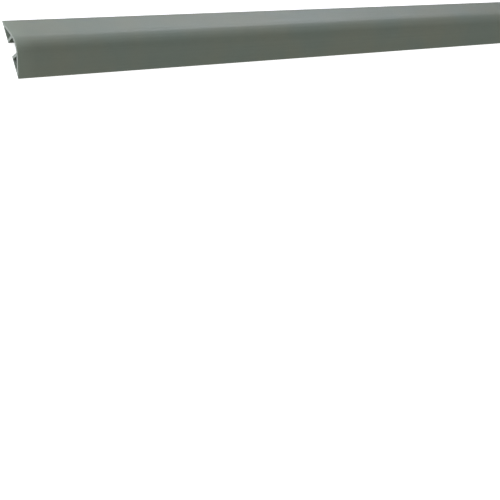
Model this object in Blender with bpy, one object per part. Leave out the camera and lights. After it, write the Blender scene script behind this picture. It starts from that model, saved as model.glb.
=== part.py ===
"""Cable trunking: one extruded length of grey PVC, open along its underside.

The section is a low ridge. Two straight walls rise from the outer edges to a rounded
crown. A flat foot folds in from each edge, and a rib joins the end of each foot to the
wall above it. The ribs close off a hollow on each side and leave a cable channel in the
middle, which is open below through the mouth between the feet.

The length runs along X and the feet stand on Z = 0. Sizes are in metres.
"""
import math

import bpy

MM = 0.001

# Driving dimensions of the stock
LENGTH = 2000 * MM
WIDTH = 50 * MM
HEIGHT = 12.2 * MM
CROWN_RADIUS = 18.0 * MM
WALL = 2.0 * MM
FOOT = 1.0 * MM
RIB = 2.6 * MM
MOUTH = 11.4 * MM

# Outward lean of a rib, as a part of its height
RIB_LEAN = 0.07

# Roundings left by the extrusion die
EDGE_RADIUS = 0.3 * MM
MOUTH_EDGE_RADIUS = 0.3 * MM
CHANNEL_RADIUS = 0.9 * MM
HOLLOW_RADIUS = 0.4 * MM
HOLLOW_TIP_RADIUS = 0.6 * MM

# Straight pieces in a quarter of a turn, on the crown and on the small roundings
CROWN_STEPS = 36
SMALL_STEPS = 8

# Linear base colour of the plastic
PVC_COLOUR = (0.19, 0.215, 0.18, 1.0)
PVC_ROUGHNESS = 0.42

# The outer face of a wall touches both the rounded edge and the crown, which gives its slope.
EDGE_TO_CROWN = (WIDTH / 2 - EDGE_RADIUS, HEIGHT - CROWN_RADIUS - EDGE_RADIUS)
WALL_SLOPE = (math.asin((CROWN_RADIUS - EDGE_RADIUS) / math.hypot(*EDGE_TO_CROWN))
              + math.atan2(EDGE_TO_CROWN[1], EDGE_TO_CROWN[0]))

# The crown and the channel's ceiling are round about one centre.
CROWN_CENTRE_Z = HEIGHT - CROWN_RADIUS
CEILING_RADIUS = CROWN_RADIUS - WALL

# Where the two outer faces would meet, and where the two inner faces would meet
OUTER_PEAK = HEIGHT + CROWN_RADIUS * (1 / math.cos(WALL_SLOPE) - 1)
INNER_PEAK = OUTER_PEAK - WALL / math.cos(WALL_SLOPE)


def under_wall(foot_y):
    """Point where a rib's face, which starts at foot_y on the floor, meets a straight wall."""
    fall = math.tan(WALL_SLOPE)
    height = (INNER_PEAK - fall * foot_y) / (1 + fall * RIB_LEAN)
    return foot_y + RIB_LEAN * height, height


def under_crown(foot_y):
    """Point where a rib's face, which starts at foot_y on the floor, meets the round ceiling."""
    square = 1 + RIB_LEAN ** 2
    half_linear = RIB_LEAN * foot_y - CROWN_CENTRE_Z
    constant = foot_y ** 2 + CROWN_CENTRE_Z ** 2 - CEILING_RADIUS ** 2
    height = (math.sqrt(half_linear ** 2 - square * constant) - half_linear) / square
    return foot_y + RIB_LEAN * height, height


def arc(before, corner, after, radius, quarter_steps):
    """Points of a round of the given radius between two sides, or the bare corner at radius 0."""
    if radius == 0:
        return [corner]
    side_in = math.atan2(corner[1] - before[1], corner[0] - before[0])
    side_out = math.atan2(after[1] - corner[1], after[0] - corner[0])
    turn = math.remainder(side_out - side_in, 2 * math.pi)
    reach = radius * math.tan(abs(turn) / 2)
    hand = math.copysign(1, turn)
    start = (corner[0] - reach * math.cos(side_in), corner[1] - reach * math.sin(side_in))
    centre = (start[0] - hand * radius * math.sin(side_in), start[1] + hand * radius * math.cos(side_in))
    steps = max(2, math.ceil(quarter_steps * abs(turn) / (math.pi / 2)))
    points = []
    for step in range(steps + 1):
        heading = side_in + turn * step / steps
        points.append((centre[0] + hand * radius * math.sin(heading),
                       centre[1] - hand * radius * math.cos(heading)))
    return points


def rounded(corners):
    """Closed outline through corners given as (y, z, radius, steps in a quarter turn)."""
    outline = []
    for place, (y, z, radius, quarter_steps) in enumerate(corners):
        before = corners[place - 1]
        after = corners[(place + 1) % len(corners)]
        outline += arc(before, (y, z), after, radius, quarter_steps)
    return outline


def mirrored(outline):
    """The same outline on the other side of the middle plane."""
    return [(-y, z) for y, z in reversed(outline)]


def ceiling():
    """Corners along the channel's round ceiling, from the -Y rib to the +Y rib, with both ends rounded."""
    channel_y = under_crown(MOUTH / 2)[0]
    half_angle = math.asin(channel_y / CEILING_RADIUS)
    pieces = math.ceil(CROWN_STEPS * half_angle / (math.pi / 4))
    corners = []
    for step in range(pieces + 1):
        angle = half_angle * (2 * step / pieces - 1)
        radius = CHANNEL_RADIUS if step in (0, pieces) else 0
        corners.append((CEILING_RADIUS * math.sin(angle), CROWN_CENTRE_Z + CEILING_RADIUS * math.cos(angle),
                        radius, SMALL_STEPS))
    return corners


def body_outline():
    """Outer faces, feet and cable channel as one closed line, anticlockwise."""
    edge_y = OUTER_PEAK / math.tan(WALL_SLOPE)
    half_mouth = MOUTH / 2
    return rounded([
        (edge_y, 0, EDGE_RADIUS, SMALL_STEPS),
        (0, OUTER_PEAK, CROWN_RADIUS, CROWN_STEPS),
        (-edge_y, 0, EDGE_RADIUS, SMALL_STEPS),
        (-half_mouth, 0, MOUTH_EDGE_RADIUS, SMALL_STEPS),
        *ceiling(),
        (half_mouth, 0, MOUTH_EDGE_RADIUS, SMALL_STEPS),
    ])


def side_hollow():
    """The three-cornered hollow between wall, foot and rib, on the +Y side."""
    tip_y = (INNER_PEAK - FOOT) / math.tan(WALL_SLOPE)
    rib_y = MOUTH / 2 + RIB
    top_y, top_z = under_wall(rib_y)
    return rounded([
        (tip_y, FOOT, HOLLOW_TIP_RADIUS, SMALL_STEPS),
        (top_y, top_z, HOLLOW_RADIUS, SMALL_STEPS),
        (rib_y + RIB_LEAN * FOOT, FOOT, HOLLOW_RADIUS, SMALL_STEPS),
    ])


def add_closed_line(curve, outline):
    """One closed run of straight pieces on a flat curve."""
    spline = curve.splines.new('POLY')
    spline.points.add(len(outline) - 1)
    for point, (y, z) in zip(spline.points, outline):
        point.co = (y, z, 0, 1)
    spline.use_cyclic_u = True


def pvc():
    """Satin grey plastic."""
    material = bpy.data.materials.new("grey_pvc")
    material.use_nodes = True
    shader = material.node_tree.nodes["Principled BSDF"]
    shader.inputs["Base Color"].default_value = PVC_COLOUR
    shader.inputs["Roughness"].default_value = PVC_ROUGHNESS
    shader.inputs["Metallic"].default_value = 0.0
    return material


def trunking_profile(collection):
    """The extruded length: the flat section, thickened along its own Z and laid along world X."""
    curve = bpy.data.curves.new("trunking_profile", 'CURVE')
    curve.dimensions = '2D'
    curve.fill_mode = 'BOTH'
    curve.extrude = LENGTH / 2
    hollow = side_hollow()
    for outline in (body_outline(), hollow, mirrored(hollow)):
        add_closed_line(curve, outline)
    curve.materials.append(pvc())
    profile = bpy.data.objects.new("trunking_profile", curve)
    profile.rotation_euler = (math.pi / 2, 0, math.pi / 2)
    collection.objects.link(profile)


def main():
    for old in list(bpy.data.objects):
        bpy.data.objects.remove(old, do_unlink=True)
    collection = bpy.data.collections.new("cable_trunking")
    bpy.context.scene.collection.children.link(collection)
    trunking_profile(collection)


main()
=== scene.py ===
"""A length of grey PVC cable trunking, lying on its feet and seen from above its near cut end.

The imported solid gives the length, width and height. This script carries the same section along the
length as a finer surface, with what the die, the cooling bath and the saw leave on it.
Sizes are in metres, in the frame's axes: X along the length, Y across, Z up.
"""
import math

import bpy
import numpy as np
from mathutils import Matrix, Vector
from mathutils.geometry import delaunay_2d_cdt


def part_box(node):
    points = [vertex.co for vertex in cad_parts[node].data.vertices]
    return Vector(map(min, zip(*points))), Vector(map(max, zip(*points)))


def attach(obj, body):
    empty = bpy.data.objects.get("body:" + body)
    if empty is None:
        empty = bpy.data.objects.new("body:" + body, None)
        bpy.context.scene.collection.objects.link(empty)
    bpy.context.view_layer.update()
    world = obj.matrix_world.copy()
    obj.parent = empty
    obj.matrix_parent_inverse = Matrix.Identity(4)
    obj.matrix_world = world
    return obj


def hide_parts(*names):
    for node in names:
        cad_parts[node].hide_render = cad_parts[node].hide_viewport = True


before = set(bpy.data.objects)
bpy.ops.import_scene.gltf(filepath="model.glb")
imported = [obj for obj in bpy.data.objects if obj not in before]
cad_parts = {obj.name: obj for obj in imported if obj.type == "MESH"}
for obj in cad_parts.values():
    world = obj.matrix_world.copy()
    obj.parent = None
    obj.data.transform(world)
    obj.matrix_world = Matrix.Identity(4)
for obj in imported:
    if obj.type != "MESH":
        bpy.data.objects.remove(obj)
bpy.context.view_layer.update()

MM = 0.001
NODE = "trunking_profile"

# Sizes of the stock, from the solid's own box
low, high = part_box(NODE)
WIDTH = high.y - low.y
HEIGHT = high.z - low.z
NEAR_END = low.x
FAR_END = high.x

# Sizes of the section, as the solid has them
CROWN_RADIUS = 18.0 * MM
WALL = 2.0 * MM
FOOT = 1.0 * MM
RIB = 2.6 * MM
MOUTH = 11.4 * MM
RIB_LEAN = 0.07
EDGE_RADIUS = 0.3 * MM
MOUTH_EDGE_RADIUS = 0.3 * MM
CHANNEL_RADIUS = 0.9 * MM
HOLLOW_RADIUS = 0.4 * MM
HOLLOW_TIP_RADIUS = 0.6 * MM

# How closely the outline is followed
ARC_STEP = math.radians(9)
CROWN_STEP = math.radians(2)
CEILING_STEP = math.radians(2.5)
OUTLINE_SPACING = 0.45 * MM

# Stations along the length
STATION_SPACING = 16 * MM

# Edge broken with a knife at each saw cut, and how unevenly
CUT_EDGE_RADIUS = 0.14 * MM
CUT_EDGE_POINTS = 5
CUT_EDGE_UNEVENNESS = 0.4
CUT_EDGE_WAVES = (1.3 * MM, 2.9 * MM, 7.7 * MM)

# A face looks up or down where its unit normal rises or falls by more than this.
FACING_UP = 0.5

# Marks of the extrusion: shallow sinks over the ribs, die lines, and a slow ripple from the haul-off
SINK_DEPTH = 0.07 * MM
SINK_WIDTH = 2.2 * MM
DIE_LINE_DEPTH = 0.006 * MM
DIE_LINE_WAVES = (0.9 * MM, 1.7 * MM, 2.9 * MM, 4.3 * MM, 7.1 * MM)
RIPPLE_DEPTH = 0.03 * MM
RIPPLE_WAVES = (0.31, 0.57, 0.93)
RIPPLE_GIRTH = 40 * MM

# Marks of the saw on the cut ends
SAW_POINT_SPACING = 0.3 * MM
SAW_MARK_PITCH = 1.1 * MM
SAW_MARK_DEPTH = 0.02 * MM
BLADE_CENTRE_Y = 90 * MM
BLADE_CENTRE_Z = 100 * MM

# Points of a cut face that are nearer than this, in millimetres, are taken as one.
SAME_POINT = 1e-6

# Rubbed edges: how far the rubbing reaches from an edge of the section, and from a cut end
RUB_REACH = 0.5 * MM
RUB_END_REACH = 1.2 * MM

# Seed of the waves' phases
RANDOM_SEED = 7

# Colours, linear
PVC_GREEN_GREY = (0.171, 0.208, 0.174)
PVC_STONE_GREY = (0.190, 0.213, 0.168)
SAWN_DARK = (0.268, 0.298, 0.256)
SAWN_LIGHT = (0.380, 0.416, 0.362)
WHITE = (1.0, 1.0, 1.0)
FLOOR_WHITE = (0.90, 0.90, 0.90)
COOL_WHITE = (0.965, 0.965, 1.07)
WARM_WHITE = (1.0, 1.0, 0.95)

# Sizes of the patterns in the plastic's skin
MOTTLE_SIZE = 55 * MM
CLOUD_SIZE = 9 * MM
STREAK_LENGTH = 900 * MM
STREAK_WIDTH = 1.4 * MM
DRAG_LINE_LENGTH = 160 * MM
DRAG_LINE_WIDTH = 0.22 * MM
GRAIN_SIZE = 0.3 * MM
SCUFF_LENGTH = 22 * MM
SCUFF_WIDTH = 0.4 * MM
SCUFFED_PATCH_SIZE = 160 * MM
SKIN_RELIEF = 0.05 * MM

# The part of a noise's run from 0 to 1 that each pattern is stretched from
NOISE_RANGE = (0.3, 0.7)
MOTTLE_RANGE = (0.35, 0.65)
SCRATCH_RANGE = (0.60, 0.68)
SCUFFED_PATCH_RANGE = (0.48, 0.60)
SAWN_MARK_RANGE = (0.25, 0.75)
NOISE_ROUGHNESS = 0.55

# Rubbing comes through the grain, from its hollows, which are rubbed least, to its crests.
WORN_GRAIN_RANGE = (-0.8, 0.8)
LEAST_WEAR = 0.4

# Sizes of the patterns on the sawn faces, and how much their arcs waver
FINE_SAW_MARK_PITCH = 0.37 * MM
SAW_MARK_WAVER = 2.0
FINE_SAW_MARK_WAVER = 4.0
SAWN_GRAIN_SIZE = 0.25 * MM
SAWN_RELIEF = 0.05 * MM

# Gloss: the skin's roughness between its marks, and the sawn face's in its dark and light marks
SKIN_ROUGHNESS = 0.48
SAWN_DARK_ROUGHNESS = 0.90
SAWN_LIGHT_ROUGHNESS = 0.72
SAWN_SPECULAR = 0.3
BUMP_STRENGTH = 0.6

# Phase of the wave texture for each unit of its scale, in radians
WAVE_PHASE = 20

# Camera: its place from the middle of the mouth at the near cut end, in widths of the stock, and
# the directions that point right and up in the picture
CAMERA_OFFSET = Vector((-7.491, -6.084, 14.569))
CAMERA_RIGHT = Vector((0.7862, -0.2874, 0.5470))
CAMERA_UP = Vector((0.1648, 0.9507, 0.2626))
FOCAL_LENGTH_PIXELS = 1050
PICTURE_PIXELS = 500
SENSOR_WIDTH = 36.0
NEAREST_SEEN = 50 * MM

# The floor lies a hair under the feet, and glows so that it stays white in the part's shade. It
# turns up into a white dome, which the surroundings' light passes through.
STUDIO_RADIUS = 30.0
STUDIO_STEP = math.radians(7.5)
STUDIO_ROUGHNESS = 0.9
FLOOR_Z = -0.2 * MM
FLOOR_GLOW = 0.86
SKY_BRIGHTNESS = 0.335
GROUND_BRIGHTNESS = 0.12
HORIZON_BLUR = 0.01

# The outer face of a wall touches both the rounded edge and the crown, which gives its slope.
EDGE_TO_CROWN = (WIDTH / 2 - EDGE_RADIUS, HEIGHT - CROWN_RADIUS - EDGE_RADIUS)
SLOPE = (math.asin((CROWN_RADIUS - EDGE_RADIUS) / math.hypot(*EDGE_TO_CROWN))
         + math.atan2(EDGE_TO_CROWN[1], EDGE_TO_CROWN[0]))

# The crown and the channel's ceiling are round about one centre.
CROWN_CENTRE_Z = HEIGHT - CROWN_RADIUS
CEILING_RADIUS = CROWN_RADIUS - WALL

# Where the two outer faces would meet, and where the two inner faces would meet
OUTER_PEAK = HEIGHT + CROWN_RADIUS * (1 / math.cos(SLOPE) - 1)
INNER_PEAK = OUTER_PEAK - WALL / math.cos(SLOPE)


def under_wall(foot_y):
    """Where a rib's face that starts at foot_y on the floor meets the wall's inner face."""
    fall = math.tan(SLOPE)
    height = (INNER_PEAK - fall * foot_y) / (1 + fall * RIB_LEAN)
    return foot_y + RIB_LEAN * height, height


def under_crown(foot_y):
    """Where a rib's face that starts at foot_y on the floor meets the channel's round ceiling."""
    square = 1 + RIB_LEAN ** 2
    half_linear = RIB_LEAN * foot_y - CROWN_CENTRE_Z
    constant = foot_y ** 2 + CROWN_CENTRE_Z ** 2 - CEILING_RADIUS ** 2
    height = (math.sqrt(half_linear ** 2 - square * constant) - half_linear) / square
    return foot_y + RIB_LEAN * height, height


def ceiling_corners():
    """The round ceiling from the -Y rib to the +Y rib: y = R sin a, z = centre + R cos a."""
    half_angle = math.asin(under_crown(MOUTH / 2)[0] / CEILING_RADIUS)
    angle = np.linspace(-half_angle, half_angle, math.ceil(2 * half_angle / CEILING_STEP) + 1)
    radius = np.zeros(len(angle))
    radius[[0, -1]] = CHANNEL_RADIUS
    y = CEILING_RADIUS * np.sin(angle)
    z = CROWN_CENTRE_Z + CEILING_RADIUS * np.cos(angle)
    return list(zip(y, z, radius, np.full(len(angle), ARC_STEP)))


def body_corners():
    """Corners of the outer outline with the channel, anticlockwise, as (y, z, radius, arc step)."""
    edge_y = OUTER_PEAK / math.tan(SLOPE)
    half_mouth = MOUTH / 2
    return [
        (edge_y, 0, EDGE_RADIUS, ARC_STEP),
        (0, OUTER_PEAK, CROWN_RADIUS, CROWN_STEP),
        (-edge_y, 0, EDGE_RADIUS, ARC_STEP),
        (-half_mouth, 0, MOUTH_EDGE_RADIUS, ARC_STEP),
        *ceiling_corners(),
        (half_mouth, 0, MOUTH_EDGE_RADIUS, ARC_STEP),
    ]


def hollow_corners():
    """Corners of the closed hollow beside the +Y rib, clockwise."""
    tip_y = (INNER_PEAK - FOOT) / math.tan(SLOPE)
    rib_y = MOUTH / 2 + RIB
    top_y, top_z = under_wall(rib_y)
    return [
        (rib_y + RIB_LEAN * FOOT, FOOT, HOLLOW_RADIUS, ARC_STEP),
        (top_y, top_z, HOLLOW_RADIUS, ARC_STEP),
        (tip_y, FOOT, HOLLOW_TIP_RADIUS, ARC_STEP),
    ]


def outline(corners):
    """Closed line through rounded corners, as an array of (y, z).

    A round of radius r between two sides that turn by t starts r tan(t / 2) before the corner, and
    its points lie on the circle about a centre r to the inner side. Straight runs are shared out
    into equal pieces.
    """
    flat = np.array([corner[:2] for corner in corners])
    before = flat - np.roll(flat, 1, axis=0)
    after = np.roll(before, -1, axis=0)
    heading_in = np.arctan2(before[:, 1], before[:, 0])
    heading_out = np.arctan2(after[:, 1], after[:, 0])
    turn = np.remainder(heading_out - heading_in + np.pi, 2 * np.pi) - np.pi
    rounds = []
    for (y, z, radius, step), start, swing in zip(corners, heading_in, turn):
        reach = radius * math.tan(abs(swing) / 2)
        hand = math.copysign(1, swing)
        first = np.array([y - reach * math.cos(start), z - reach * math.sin(start)])
        centre = first + hand * radius * np.array([-math.sin(start), math.cos(start)])
        pieces = max(2, math.ceil(abs(swing) / step)) if radius else 0
        heading = start + np.linspace(0, swing, pieces + 1)
        rounds.append(centre + hand * radius * np.column_stack((np.sin(heading), -np.cos(heading))))
    runs = []
    for this, following in zip(rounds, rounds[1:] + rounds[:1]):
        gap = following[0] - this[-1]
        pieces = max(1, math.ceil(np.hypot(*gap) / OUTLINE_SPACING))
        runs.append(this)
        runs.append(this[-1] + gap * (np.arange(1, pieces) / pieces)[:, None])
    return np.vstack(runs)


def outward(line):
    """Unit normals on the right-hand side of a closed line, which is away from the plastic."""
    along = np.roll(line, -1, axis=0) - np.roll(line, 1, axis=0)
    along /= np.linalg.norm(along, axis=1)[:, None]
    return np.column_stack((along[:, 1], -along[:, 0]))


def girth(line):
    """Distance round a closed line from its first point."""
    steps = np.linalg.norm(np.diff(line, axis=0), axis=1)
    return np.concatenate(([0], np.cumsum(steps)))


def sines(place, waves, phases):
    """Mean of sines of a place, one for each wavelength."""
    return np.sin(2 * np.pi * place[..., None] / np.array(waves) + phases).mean(axis=-1)


def sharpness(line):
    """How near each point is to an outer edge of the section, from 0 to 1.

    The line's turn at a point, divided by the length it takes, is its curvature. Curvature times
    the edge radius is 1 on an outer edge. It is then spread as a bell curve of the distance.
    """
    before = line - np.roll(line, 1, axis=0)
    after = np.roll(before, -1, axis=0)
    cross = before[:, 0] * after[:, 1] - before[:, 1] * after[:, 0]
    turn = np.arctan2(cross, (before * after).sum(axis=1))
    length = (np.linalg.norm(before, axis=1) + np.linalg.norm(after, axis=1)) / 2
    edge = np.clip(turn / length * EDGE_RADIUS, 0, 1)
    distance = np.linalg.norm(line[:, None] - line[None], axis=2)
    return (edge * np.exp(-(distance / RUB_REACH) ** 2)).max(axis=1)


def stations():
    """Places along the length, as three rows of numbers for the near end, the middle and the far end.

    At each end is the angle of a quarter round, from 0 at the cut to 90 degrees on the outline. In
    between is the distance along the length.
    """
    angle = np.linspace(0, np.pi / 2, CUT_EDGE_POINTS)
    count = math.ceil((FAR_END - NEAR_END) / STATION_SPACING)
    middle = np.linspace(NEAR_END, FAR_END, count + 1)[1:-1]
    return angle, middle, angle[::-1]


def broken_edges(round_way, phases):
    """Distance along the length, and how far the outline is drawn in, for each station and point.

    The edge's radius r wavers as a mean of sines of the girth. At an angle a of the quarter round
    the surface lies r (1 - cos a) in from the cut, and is drawn in by r (1 - sin a).
    """
    near, middle, far = stations()
    radius = CUT_EDGE_RADIUS * (1 + CUT_EDGE_UNEVENNESS * sines(round_way, CUT_EDGE_WAVES, phases))
    flat = np.broadcast_to(middle[:, None], (len(middle), len(round_way)))
    x = np.vstack((
        NEAR_END + np.outer(1 - np.cos(near), radius),
        flat,
        FAR_END - np.outer(1 - np.cos(far), radius),
    ))
    inset = np.vstack((
        np.outer(1 - np.sin(near), radius),
        np.zeros_like(flat),
        np.outer(1 - np.sin(far), radius),
    ))
    return x, inset


def extrusion_marks(line, normal, x, phases):
    """Height of the real surface over the true outline, for each station and outline point.

    Faces that look up sink by a rib, as a bell curve of the distance from it. Die lines are a mean
    of sines of the girth, the same all along. The ripple is a mean of slow sines of the length
    times a cosine of the girth. The underside of the feet stays true.
    """
    die_phases, ripple_phases = phases
    round_way = girth(line)
    rib_y = under_wall(MOUTH / 2 + RIB / 2)[0]
    looks_up = (normal[:, 1] > FACING_UP) & (line[:, 1] > EDGE_RADIUS)
    sink = SINK_DEPTH * looks_up * np.exp(-((np.abs(line[:, 0]) - rib_y) / (SINK_WIDTH / 2)) ** 2)
    die = DIE_LINE_DEPTH * sines(round_way, DIE_LINE_WAVES, die_phases)
    round_ripple = np.cos(2 * np.pi * round_way / RIPPLE_GIRTH)
    ripple = RIPPLE_DEPTH * sines(x, RIPPLE_WAVES, ripple_phases) * round_ripple
    underside = (normal[:, 1] < -FACING_UP) & (line[:, 1] < EDGE_RADIUS)
    return np.where(underside, 0, ripple + die - sink)


def skin(line, random):
    """The outline carried along the length, as points in rows of one station each.

    A point is the outline's point, moved along its normal by the extrusion's marks less the inset
    of the broken edge.
    """
    edge_phases = random.uniform(0, 2 * np.pi, len(CUT_EDGE_WAVES))
    die_phases = random.uniform(0, 2 * np.pi, len(DIE_LINE_WAVES))
    ripple_phases = random.uniform(0, 2 * np.pi, len(RIPPLE_WAVES))
    normal = outward(line)
    x, inset = broken_edges(girth(line), edge_phases)
    shift = extrusion_marks(line, normal, x, (die_phases, ripple_phases)) - inset
    return np.concatenate((x[..., None], line + normal * shift[..., None]), axis=2)


def skin_faces(first, rows, columns):
    """Quads between rows of points that start at first, closed round each row, facing outwards."""
    index = first + np.arange(rows * columns).reshape(rows, columns)
    onward = np.roll(index, -1, axis=1)
    return np.stack((index[:-1], onward[:-1], onward[1:], index[1:]), axis=-1).reshape(-1, 4)


def in_plastic(points, loops):
    """Whether each point is in the plastic: a ray up from it crosses the loops an odd number of times.

    The ray meets a side from a to b at the height a_z + (y - a_y) (b_z - a_z) / (b_y - a_y). It
    never meets an upright side, whose run in y is set to 1 to keep the division sound.
    """
    crossings = np.zeros(len(points), int)
    for loop in loops:
        a, b = loop, np.roll(loop, -1, axis=0)
        spans = (a[:, 0] > points[:, :1]) != (b[:, 0] > points[:, :1])
        run = np.where(b[:, 0] == a[:, 0], 1, b[:, 0] - a[:, 0])
        height = a[:, 1] + (points[:, :1] - a[:, 0]) * (b[:, 1] - a[:, 1]) / run
        crossings += (spans & (height > points[:, 1:])).sum(axis=1)
    return crossings % 2 == 1


def saw_points(loops):
    """A staggered grid of points in the cut face, kept clear of its edges."""
    rim = np.vstack(loops)
    y = np.arange(rim[:, 0].min(), rim[:, 0].max(), SAW_POINT_SPACING)
    z = np.arange(rim[:, 1].min(), rim[:, 1].max(), SAW_POINT_SPACING * math.sqrt(3) / 2)
    grid_y, grid_z = np.meshgrid(y, z)
    grid_y = grid_y + (np.arange(len(z)) % 2)[:, None] * SAW_POINT_SPACING / 2
    points = np.column_stack((grid_y.ravel(), grid_z.ravel()))
    points = points[in_plastic(points, loops)]
    gap = np.linalg.norm(points[:, None] - rim[None], axis=2).min(axis=1)
    return points[gap > SAW_POINT_SPACING / 2]


def saw_marks(points):
    """Depth of the arcs that the blade's teeth leave: a sine of the distance from the blade's centre."""
    reach = np.hypot(points[:, 0] - BLADE_CENTRE_Y, points[:, 1] - BLADE_CENTRE_Z)
    return SAW_MARK_DEPTH / 2 * (1 + np.sin(2 * np.pi * reach / SAW_MARK_PITCH))


def cut_face(loops):
    """Triangles of a cut face between its loops, over the loops' points and then the saw's points."""
    extra = saw_points(loops)
    flat = np.vstack(loops + [extra]) / MM
    sizes = np.array([len(loop) for loop in loops])
    firsts = np.cumsum(sizes) - sizes
    rings = [first + np.arange(size) for first, size in zip(firsts, sizes)]
    edges = np.vstack([np.column_stack((ring, np.roll(ring, -1))) for ring in rings])
    inside_only = 1
    places = [Vector(point) for point in flat]
    result = delaunay_2d_cdt(places, edges.tolist(), [], inside_only, SAME_POINT)
    new_faces, sources = result[2], result[3]
    first_source = np.array([source[0] for source in sources])
    faces = first_source[np.array(new_faces)]
    middle = flat[faces].mean(axis=1) * MM
    return faces[in_plastic(middle, loops)], extra


def trunking_surface():
    """The whole length as one closed surface: a skin for each loop of the section, and two cut faces.

    Returns the points, the skins' quads, the cut faces' triangles, and the girth and the rubbing at
    each point. Rubbing fades as a bell curve of the distance from a cut end. The near face's
    triangles are turned over, so that it too faces outwards.
    """
    random = np.random.default_rng(RANDOM_SEED)
    hollow = outline(hollow_corners())
    other_hollow = hollow[::-1] * (-1, 1)
    lines = [outline(body_corners()), hollow, other_hollow]
    points, quads, around, rubbed, near_rims, far_rims = [], [], [], [], [], []
    first = 0
    for line in lines:
        rows = skin(line, random)
        index = first + np.arange(rows.shape[0] * rows.shape[1]).reshape(rows.shape[:2])
        near_rims.append(index[0])
        far_rims.append(index[-1])
        quads.append(skin_faces(first, *rows.shape[:2]))
        from_end = np.minimum(rows[..., 0] - NEAR_END, FAR_END - rows[..., 0])
        rubbed.append(np.maximum(sharpness(line), np.exp(-(from_end / RUB_END_REACH) ** 2)).ravel())
        around.append(np.tile(girth(line), len(rows)))
        points.append(rows.reshape(-1, 3))
        first += rows.shape[0] * rows.shape[1]
    skin_points = np.vstack(points)
    triangles = []
    for rims, end_x, inward in ((near_rims, NEAR_END, 1), (far_rims, FAR_END, -1)):
        faces, extra = cut_face([skin_points[rim][:, 1:] for rim in rims])
        known = np.concatenate(rims + [first + np.arange(len(extra))])
        triangles.append(known[faces][:, ::-inward])
        points.append(np.column_stack((end_x + inward * saw_marks(extra), extra)))
        around.append(np.zeros(len(extra)))
        rubbed.append(np.zeros(len(extra)))
        first += len(extra)
    return (np.vstack(points), np.vstack(quads), np.vstack(triangles),
            np.concatenate(around), np.concatenate(rubbed))


def trunking(skin_material, cut_material):
    """The visible piece, in place of the plain solid."""
    points, quads, triangles, around, rubbed = trunking_surface()
    mesh = bpy.data.meshes.new("trunking_skin")
    mesh.from_pydata(points.tolist(), [], quads.tolist() + triangles.tolist())
    mesh.materials.append(skin_material)
    mesh.materials.append(cut_material)
    is_cut = np.zeros(len(mesh.polygons), np.int32)
    is_cut[len(quads):] = 1
    mesh.polygons.foreach_set("material_index", is_cut)
    for name, values in (("girth", around), ("rubbed", rubbed)):
        attribute = mesh.attributes.new(name, 'FLOAT', 'POINT')
        attribute.data.foreach_set("value", values.astype(np.float32))
    mesh.shade_smooth()
    mesh.update()
    piece = bpy.data.objects.new("trunking_skin", mesh)
    bpy.context.scene.collection.objects.link(piece)
    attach(piece, "root")
    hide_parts(NODE)


def new_material(name):
    """A material with its node tree and its surface shader."""
    material = bpy.data.materials.new(name)
    material.use_nodes = True
    return material, material.node_tree, material.node_tree.nodes["Principled BSDF"]


def add_node(tree, kind, inputs=None, **settings):
    """One node of a material. An input is a plain value or another node's output."""
    node = tree.nodes.new(kind)
    for name, value in settings.items():
        setattr(node, name, value)
    for name, value in (inputs or {}).items():
        if isinstance(value, bpy.types.NodeSocket):
            tree.links.new(value, node.inputs[name])
        else:
            node.inputs[name].default_value = value
    return node


def arithmetic(tree, operation, first, second):
    """One sum, product or other operation on two numbers."""
    return add_node(tree, "ShaderNodeMath", {0: first, 1: second}, operation=operation).outputs[0]


def noise(tree, vector, scale, detail):
    """Noise from 0 to 1, with a lump about 1 / scale across."""
    inputs = {"Vector": vector, "Scale": scale, "Detail": detail, "Roughness": NOISE_ROUGHNESS}
    return add_node(tree, "ShaderNodeTexNoise", inputs).outputs["Fac"]


def stretched(tree, along, across, length, width):
    """A flat pattern space in which one unit is a length along the stock and a width across it."""
    inputs = {
        "X": arithmetic(tree, 'DIVIDE', along, length),
        "Y": arithmetic(tree, 'DIVIDE', across, width),
    }
    return add_node(tree, "ShaderNodeCombineXYZ", inputs).outputs["Vector"]


def fade(tree, value, span, first, last):
    """A number carried from a span to the range from first to last, and held at the span's ends."""
    inputs = {"Value": value, "From Min": span[0], "From Max": span[1], "To Min": first, "To Max": last}
    return add_node(tree, "ShaderNodeMapRange", inputs).outputs["Result"]


def about_zero(tree, noise_value):
    """A noise carried to the range from -1 to 1."""
    return fade(tree, noise_value, NOISE_RANGE, -1, 1)


def between(tree, factor, first, second):
    """A colour between two colours. The Mix node has them in sockets 6 and 7, and their mix in output 2."""
    mix = add_node(tree, "ShaderNodeMix", data_type='RGBA')
    tree.links.new(factor, mix.inputs[0])
    mix.inputs[6].default_value = (*first, 1)
    mix.inputs[7].default_value = (*second, 1)
    return mix.outputs[2]


def brightened(tree, colour, factor):
    """A colour times a number."""
    inputs = {"Vector": colour, "Scale": factor}
    return add_node(tree, "ShaderNodeVectorMath", inputs, operation='SCALE').outputs["Vector"]


def weighted_sum(tree, terms):
    """Sum of numbers, each times its weight."""
    total = 0
    for value, weight in terms:
        inputs = {0: value, 1: weight, 2: total}
        total = add_node(tree, "ShaderNodeMath", inputs, operation='MULTIPLY_ADD').outputs[0]
    return total


def add_relief(tree, shader, height, distance):
    """Bump on a shader's surface, from a height that counts as a distance for each unit."""
    inputs = {"Height": height, "Strength": BUMP_STRENGTH, "Distance": distance}
    bump = add_node(tree, "ShaderNodeBump", inputs)
    tree.links.new(bump.outputs["Normal"], shader.inputs["Normal"])


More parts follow.
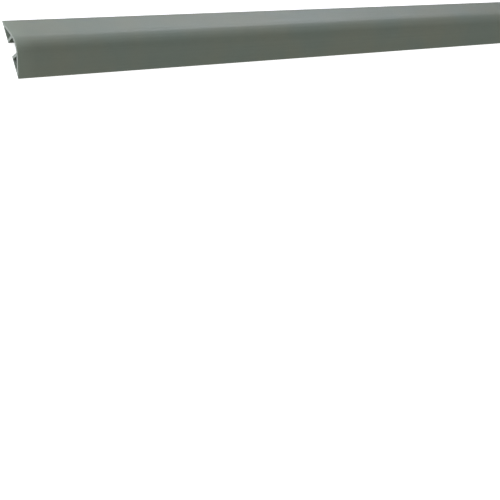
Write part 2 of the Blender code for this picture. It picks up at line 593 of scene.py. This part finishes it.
def extruded_pvc():
    """Satin skin of the plastic: mottled grey, die streaks, fine grain, scuffs and rubbed edges.

    Colour is the mottle times one plus a weighted sum of the marks. Roughness and relief are
    weighted sums of them too. Marks that run along the stock are noise stretched along it.
    """
    material, tree, shader = new_material("extruded_pvc")
    place = add_node(tree, "ShaderNodeTexCoord").outputs["Object"]
    along = add_node(tree, "ShaderNodeSeparateXYZ", {"Vector": place}).outputs["X"]
    across = add_node(tree, "ShaderNodeAttribute", attribute_name="girth").outputs["Fac"]
    rubbed = add_node(tree, "ShaderNodeAttribute", attribute_name="rubbed").outputs["Fac"]

    mottle = fade(tree, noise(tree, place, 1 / MOTTLE_SIZE, 2), MOTTLE_RANGE, 0, 1)
    clouds = about_zero(tree, noise(tree, place, 1 / CLOUD_SIZE, 2))
    streak_space = stretched(tree, along, across, STREAK_LENGTH, STREAK_WIDTH)
    streaks = about_zero(tree, noise(tree, streak_space, 1, 3))
    drag_line_space = stretched(tree, along, across, DRAG_LINE_LENGTH, DRAG_LINE_WIDTH)
    drag_lines = about_zero(tree, noise(tree, drag_line_space, 1, 1))
    grain = about_zero(tree, noise(tree, place, 1 / GRAIN_SIZE, 1))
    scuff_space = stretched(tree, along, across, SCUFF_LENGTH, SCUFF_WIDTH)
    scratches = fade(tree, noise(tree, scuff_space, 1, 2), SCRATCH_RANGE, 0, 1)
    patches = fade(tree, noise(tree, place, 1 / SCUFFED_PATCH_SIZE, 1), SCUFFED_PATCH_RANGE, 0, 1)
    scuffs = arithmetic(tree, 'MULTIPLY', scratches, patches)
    worn = arithmetic(tree, 'MULTIPLY', rubbed, fade(tree, grain, WORN_GRAIN_RANGE, LEAST_WEAR, 1))

    brightening = weighted_sum(tree, [
        (clouds, 0.012),
        (streaks, 0.028),
        (drag_lines, 0.022),
        (grain, 0.028),
        (scuffs, 0.09),
        (worn, 0.22),
    ])
    brightness = arithmetic(tree, 'ADD', brightening, 1)
    colour = between(tree, mottle, PVC_GREEN_GREY, PVC_STONE_GREY)
    tree.links.new(brightened(tree, colour, brightness), shader.inputs["Base Color"])

    dulling = weighted_sum(tree, [
        (clouds, 0.015),
        (streaks, 0.05),
        (drag_lines, 0.02),
        (grain, 0.02),
        (scuffs, 0.16),
        (worn, 0.12),
    ])
    tree.links.new(arithmetic(tree, 'ADD', dulling, SKIN_ROUGHNESS), shader.inputs["Roughness"])

    relief = weighted_sum(tree, [(streaks, 0.3), (drag_lines, 0.2), (grain, 0.3), (scuffs, -0.4)])
    add_relief(tree, shader, relief, SKIN_RELIEF)
    return material


def blade_arcs(tree, about_blade, pitch, waver):
    """Arcs about the blade's centre, from 0 to 1, as a sine of the distance from it."""
    inputs = {
        "Vector": about_blade,
        "Scale": 2 * math.pi / (WAVE_PHASE * pitch),
        "Distortion": waver,
        "Detail": 2,
        "Detail Scale": 3,
    }
    arcs = add_node(tree, "ShaderNodeTexWave", inputs, wave_type='RINGS', rings_direction='X')
    return arcs.outputs["Fac"]


def sawn_pvc():
    """Matt face left by the saw: paler than the skin, with arcs of the teeth and torn grain."""
    material, tree, shader = new_material("sawn_pvc")
    place = add_node(tree, "ShaderNodeTexCoord").outputs["Object"]
    about_blade = add_node(tree, "ShaderNodeMapping", {
        "Vector": place,
        "Location": (0, -BLADE_CENTRE_Y, -BLADE_CENTRE_Z),
    }).outputs["Vector"]
    tooth_arcs = blade_arcs(tree, about_blade, SAW_MARK_PITCH, SAW_MARK_WAVER)
    fine_arcs = blade_arcs(tree, about_blade, FINE_SAW_MARK_PITCH, FINE_SAW_MARK_WAVER)
    torn = noise(tree, place, 1 / SAWN_GRAIN_SIZE, 3)

    mixed = weighted_sum(tree, [(tooth_arcs, 0.22), (fine_arcs, 0.23), (torn, 0.55)])
    marks = fade(tree, mixed, SAWN_MARK_RANGE, 0, 1)
    tree.links.new(between(tree, marks, SAWN_DARK, SAWN_LIGHT), shader.inputs["Base Color"])
    roughness = fade(tree, marks, (0, 1), SAWN_DARK_ROUGHNESS, SAWN_LIGHT_ROUGHNESS)
    tree.links.new(roughness, shader.inputs["Roughness"])
    shader.inputs["Specular IOR Level"].default_value = SAWN_SPECULAR
    add_relief(tree, shader, marks, SAWN_RELIEF)
    return material


def place_camera():
    """The camera looks down on the near end, along a view fitted to the photograph's."""
    data = bpy.data.cameras.new("camera")
    data.sensor_width = SENSOR_WIDTH
    data.lens = SENSOR_WIDTH * FOCAL_LENGTH_PIXELS / PICTURE_PIXELS
    data.clip_start = NEAREST_SEEN
    data.clip_end = 3 * STUDIO_RADIUS
    camera = bpy.data.objects.new("camera", data)
    right = CAMERA_RIGHT.normalized()
    back = right.cross(CAMERA_UP).normalized()
    up = back.cross(right)
    turn = Matrix((right, up, back)).transposed().to_4x4()
    place = Vector((NEAR_END, 0, 0)) + CAMERA_OFFSET * WIDTH
    camera.matrix_world = Matrix.Translation(place) @ turn
    bpy.context.scene.collection.objects.link(camera)
    bpy.context.scene.camera = camera


def studio():
    """Plain white floor and dome in one closed sheet. It throws no light back at the part.

    The dome is a quarter circle, r = R cos a and z = R sin a, carried round the Z axis. Its lowest
    ring is filled in as the floor, and its highest as the top.
    """
    rise = np.arange(0, math.pi / 2, STUDIO_STEP)
    way = np.arange(0, 2 * math.pi, STUDIO_STEP)
    x = STUDIO_RADIUS * np.outer(np.cos(rise), np.cos(way))
    y = STUDIO_RADIUS * np.outer(np.cos(rise), np.sin(way))
    z = np.broadcast_to(FLOOR_Z + STUDIO_RADIUS * np.sin(rise)[:, None], x.shape)
    points = np.stack((x, y, z), axis=-1).reshape(-1, 3)
    quads = skin_faces(0, len(rise), len(way))[:, ::-1].tolist()
    floor_ring = list(range(len(way)))
    top_ring = list(range(len(points) - 1, len(points) - 1 - len(way), -1))
    mesh = bpy.data.meshes.new("studio")
    mesh.from_pydata(points.tolist(), [], [floor_ring, *quads, top_ring])
    material, tree, shader = new_material("studio_white")
    shader.inputs["Base Color"].default_value = (*FLOOR_WHITE, 1)
    shader.inputs["Roughness"].default_value = STUDIO_ROUGHNESS
    shader.inputs["Emission Color"].default_value = (*WHITE, 1)
    shader.inputs["Emission Strength"].default_value = FLOOR_GLOW
    mesh.materials.append(material)
    sheet = bpy.data.objects.new("studio", mesh)
    sheet.visible_diffuse = False
    sheet.visible_glossy = False
    sheet.visible_shadow = False
    bpy.context.scene.collection.objects.link(sheet)


def soft_box(name, end, offset, aim, size, watts, colour):
    """A rectangular soft light, offset from a cut end, facing the stock a way along from that end."""
    data = bpy.data.lights.new(name, 'AREA')
    data.shape = 'RECTANGLE'
    data.size, data.size_y = size
    data.energy = watts
    data.color = colour
    light = bpy.data.objects.new(name, data)
    light.location = Vector((end, 0, 0)) + Vector(offset)
    facing = Vector((end + aim, 0, 0)) - light.location
    light.rotation_euler = facing.to_track_quat('-Z', 'Y').to_euler()
    bpy.context.scene.collection.objects.link(light)


def sky():
    """White surroundings, dimmer below the horizon, where they stand for light off the ground."""
    world = bpy.data.worlds.new("sky")
    world.use_nodes = True
    tree = world.node_tree
    direction = add_node(tree, "ShaderNodeTexCoord").outputs["Generated"]
    height = add_node(tree, "ShaderNodeSeparateXYZ", {"Vector": direction}).outputs["Z"]
    horizon = (-HORIZON_BLUR, HORIZON_BLUR)
    strength = fade(tree, height, horizon, GROUND_BRIGHTNESS, SKY_BRIGHTNESS)
    background = tree.nodes["Background"]
    background.inputs["Color"].default_value = (*WHITE, 1)
    tree.links.new(strength, background.inputs["Strength"])
    bpy.context.scene.world = world


def studio_lights():
    """Soft lights: low ones from behind and beyond both cut ends, and a weak one from the front."""
    soft_box("back_left", NEAR_END, (-1.0, 1.4, 0.35), 0, (0.6, 0.4), 24.3, COOL_WHITE)
    soft_box("left", NEAR_END, (-1.24, 0.8, 0.39), 0, (0.6, 0.4), 12.4, COOL_WHITE)
    soft_box("back_middle", NEAR_END, (1.1, 1.5, 0.33), 0.45, (0.8, 0.45), 5.2, COOL_WHITE)
    soft_box("back_right", NEAR_END, (1.7, 1.5, 0.42), 0.55, (0.6, 0.55), 3.6, COOL_WHITE)
    soft_box("front", NEAR_END, (0.4, -1.6, 0.6), 0.4, (2.2, 0.6), 9.5, WARM_WHITE)
    soft_box("far_end", FAR_END, (1.0, 0.15, 0.16), 0, (0.5, 0.25), 4, WHITE)


place_camera()
studio()
sky()
studio_lights()
bpy.context.scene.view_settings.view_transform = 'Standard'
trunking(extruded_pvc(), sawn_pvc())
